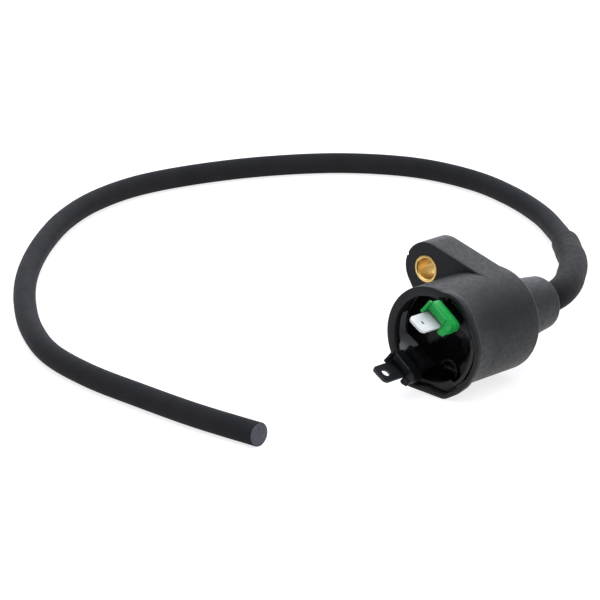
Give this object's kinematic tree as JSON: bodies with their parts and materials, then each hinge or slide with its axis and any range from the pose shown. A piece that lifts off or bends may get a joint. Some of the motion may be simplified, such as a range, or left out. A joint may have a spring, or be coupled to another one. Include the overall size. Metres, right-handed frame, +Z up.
{
  "type": "ignition coil",
  "caption": "Potted ignition coil in an open-fronted plastic can, with a bushed mounting ear, two spade terminals and a fixed high-tension lead.",
  "frame": {"origin": "centre of the bolt hole in the mounting bush", "axes": "+Y along the bolt hole and the can's axis, towards the lead tower; +Z up as the part lies; +X to the right as seen from the open mouth"},
  "size_m": [0.2423, 0.2734, 0.039],
  "materials": {
    "body_plastic": "matt",
    "bush_brass": "satin",
    "resin": "glossy",
    "carrier_plastic": "satin",
    "tinned_tab": "satin",
    "blackened_tab": "satin",
    "green_plastic": "satin",
    "core_steel": "satin",
    "paper": "matt",
    "bobbin_plastic": "matt",
    "copper": "glossy",
    "tape": "glossy",
    "solder": "glossy",
    "contact_brass": "satin",
    "seal_rubber": "matt",
    "core_carbon": "matt",
    "lead_rubber": "satin",
    "sleeve_rubber": "matt"
  },
  "bodies": {
    "root": {"housing": "body_plastic", "mount_bush": "bush_brass", "potting_resin": "resin", "terminal_carrier": "carrier_plastic", "signal_blade": "tinned_tab", "signal_collar": "green_plastic", "ground_blade": "blackened_tab", "ground_collar": "carrier_plastic", "core_laminations": "core_steel", "core_paper": "paper", "primary_bobbin": "bobbin_plastic", "primary_winding": "copper", "primary_tape": "tape", "secondary_bobbin": "bobbin_plastic", "secondary_winding": "copper", "primary_start_wire": "copper", "primary_end_wire": "copper", "secondary_ground_wire": "copper", "high_tension_wire": "copper", "solder_joints": "solder", "resin_wire_loop": "carrier_plastic", "contact_plate": "contact_brass", "contact_spike": "contact_brass", "lead_seal": "seal_rubber", "lead_core": "core_carbon", "lead_jacket": "lead_rubber", "lead_sleeve": "sleeve_rubber"}
  },
  "joints": []
}
